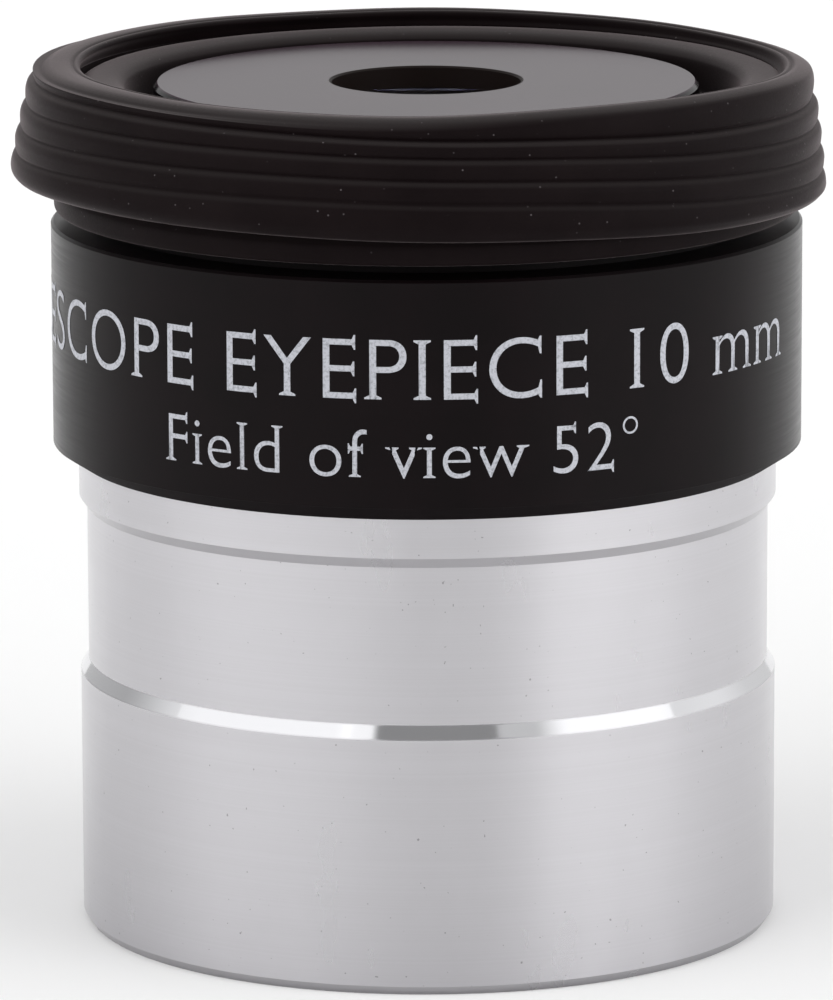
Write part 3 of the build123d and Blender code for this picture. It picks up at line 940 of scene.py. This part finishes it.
# %% Thread finish
thread_metal, tree, shader = new_material("thread_metal")
vector, x, y, z, radius = place_in_piece(tree)
cut = noise(tree, vector, 6.0, detail=3.0)
tree.links.new(ramp(tree, cut, ((0.3, 0.50), (0.7, 0.62))), shader.inputs["Base Color"])
put(shader, Metallic=1.0, Roughness=0.34)
bump(tree, cut, 0.004, shader, 0.5)
thread.data.materials.append(thread_metal)
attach(thread, "barrel")
print("filter thread:", THREAD_TURNS, "turns of", THREAD_PITCH, "mm")

# %% [markdown]
# ## The marking's paint
#
# The marking is silver-white paint on the black housing, and such a thin coat is never quite
# even. The grain is a noise on the colour with a little relief, because a flat white would
# look like a sticker.

# %% Marking material
PAINT_TONES = ((0.32, (0.29, 0.30, 0.33)), (0.52, (0.53, 0.54, 0.59)))

paint, tree, shader = new_material("silver_white_filling")
vector, x, y, z, radius = place_in_piece(tree)
grain = noise(tree, vector, 7.0, detail=3.0, roughness=0.7)
tree.links.new(ramp(tree, grain, PAINT_TONES), shader.inputs["Base Color"])
put(shader, Roughness=0.45, Metallic=0.15)
bump(tree, grain, 0.010, shader, 0.6)
print("marking paint: metallic 0.15,", len(tree.nodes), "nodes")

# %% [markdown]
# ## Serifs
#
# Instrument makers like a book typeface, and Blender's own typeface is a plain one. Another
# font file would be a second thing to carry along, so the plain letters get serifs in code.
# Wherever a stroke is cut off square, its outline has one short edge between two long ones
# that run side by side. Each such edge gets a small foot on both sides.

# %% Serif helper
STROKE_WIDTH = (0.045, 0.120)    # widths of a stroke's cut end, as shares of the type size
SERIF_REACH = 0.75               # how far a serif stands out, as a share of the stroke's width
SERIF_DEPTH = 0.60               # how tall it is at the stroke
SERIF_TIP = 0.4                  # how tall its tip is, as a share of its depth
SIDE_BY_SIDE = 0.9               # least cosine between a stroke's two sides
NOT_SQUARE = 0.6                 # greatest cosine between the cut end and a side


def sides_of_end(edge):
    """For each corner of an outline edge: (corner, the way along the edge, the way back)."""
    sides = []
    for corner in edge.verts:
        along = edge.other_vert(corner).co - corner.co
        beyond = [e for e in corner.link_edges if e.is_boundary and e is not edge]
        if len(beyond) == 1:
            back = (beyond[0].other_vert(corner).co - corner.co).normalized()
            sides.append((corner, along, back))
    return sides


def is_stroke_end(sides):
    """Whether the two sides run back side by side, about square to the edge."""
    if len(sides) < 2 or sides[0][2].dot(sides[1][2]) < SIDE_BY_SIDE:
        return False
    return abs(sides[0][2].dot(sides[0][1].normalized())) <= NOT_SQUARE


def add_serifs(work):
    """Puts a small foot on both sides of each stroke's cut end, as in a book typeface."""
    outline = [e for e in work.edges if e.is_boundary]
    short = [e for e in outline if STROKE_WIDTH[0] < e.calc_length() < STROKE_WIDTH[1]]
    ends = [sides for sides in map(sides_of_end, short) if is_stroke_end(sides)]
    for sides in ends:
        for corner, along, back in sides:
            depth = SERIF_DEPTH * along.length
            tip = corner.co - SERIF_REACH * along
            square = (back - back.project(along)).normalized()
            tip_back = tip + SERIF_TIP * depth * square
            on_stroke = corner.co + depth * back
            foot = [corner] + [work.verts.new(co) for co in (tip, tip_back, on_stroke)]
            work.faces.new(foot)
    return len(ends)


# %% [markdown]
# ## The marking
#
# Letters could be an image wrapped on the housing, but real outlines stay sharp at any
# distance. The words are typed flat, turned into a mesh, cut into narrow upright strips so
# that they can bend, and rolled onto the wall. They say only what any eyepiece of this kind
# says: what it is, its focal length and its field.

# %% Marking
HOUSING_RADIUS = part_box("housing")[1].x / MM
PAINT_STAND = 0.012              # the paint stands this far off the wall
PEN_TRIM = -0.011                # makes the strokes a little thinner than the typeface's own
STRIP = 0.35                     # width of the strips that the letters are cut into
CAPITAL = 0.729                  # height of the typeface's capitals, as a share of its size
LETTER_SPACING = 1.05
TOUCHING = 1e-5                  # points closer than this, at size 1, are one point


def typed_mesh(name, words):
    """Flat words of size 1 as a mesh, centred on X = 0."""
    curve = bpy.data.curves.new(name, "FONT")
    curve.body = words
    curve.size = 1.0
    curve.space_character = LETTER_SPACING
    curve.offset = PEN_TRIM
    curve.align_x = "CENTER"
    flat = bpy.data.objects.new(name + "_flat", curve)
    scene.collection.objects.link(flat)
    bpy.context.view_layer.update()
    depsgraph = bpy.context.evaluated_depsgraph_get()
    mesh = bpy.data.meshes.new_from_object(flat.evaluated_get(depsgraph))
    bpy.data.objects.remove(flat)
    mesh.name = name
    return mesh


def cut_in_strips(work, left, right):
    """Cuts flat letters by upright planes, a strip apart, so that they can bend."""
    cut_at = left + STRIP
    while cut_at < right:
        everything = work.verts[:] + work.edges[:] + work.faces[:]
        bmesh.ops.bisect_plane(work, geom=everything, plane_co=(cut_at, 0, 0), plane_no=(1, 0, 0))
        cut_at += STRIP


def marking(name, words, size, baseline, middle):
    """Words of the given letter height in mm, centred at the given angle in radians."""
    mesh = typed_mesh(name, words)
    work = bmesh.new()
    work.from_mesh(mesh)
    bmesh.ops.remove_doubles(work, verts=work.verts, dist=TOUCHING)
    stroke_ends = add_serifs(work)
    bmesh.ops.transform(work, matrix=Matrix.Scale(size / CAPITAL, 4), verts=work.verts)
    left = min(v.co.x for v in work.verts)
    right = max(v.co.x for v in work.verts)
    cut_in_strips(work, left, right)
    r = HOUSING_RADIUS + PAINT_STAND
    for v in work.verts:
        angle = middle + v.co.x / HOUSING_RADIUS - math.pi / 2
        v.co = Vector((r * math.cos(angle), r * math.sin(angle), baseline + v.co.y)) * MM
    bmesh.ops.recalc_face_normals(work, faces=work.faces)
    work.to_mesh(mesh)
    work.free()
    piece = bpy.data.objects.new(name, mesh)
    scene.collection.objects.link(piece)
    mesh.materials.append(paint)
    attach(piece, "head")
    print(name, "-", round((right - left), 1), "mm long,", stroke_ends, "stroke ends with serifs")


marking("marking_upper_line", "TELESCOPE EYEPIECE 10 mm", 2.9, 27.0, -0.34)
marking("marking_lower_line", "Field of view 52°", 2.3, 23.55, -0.08)
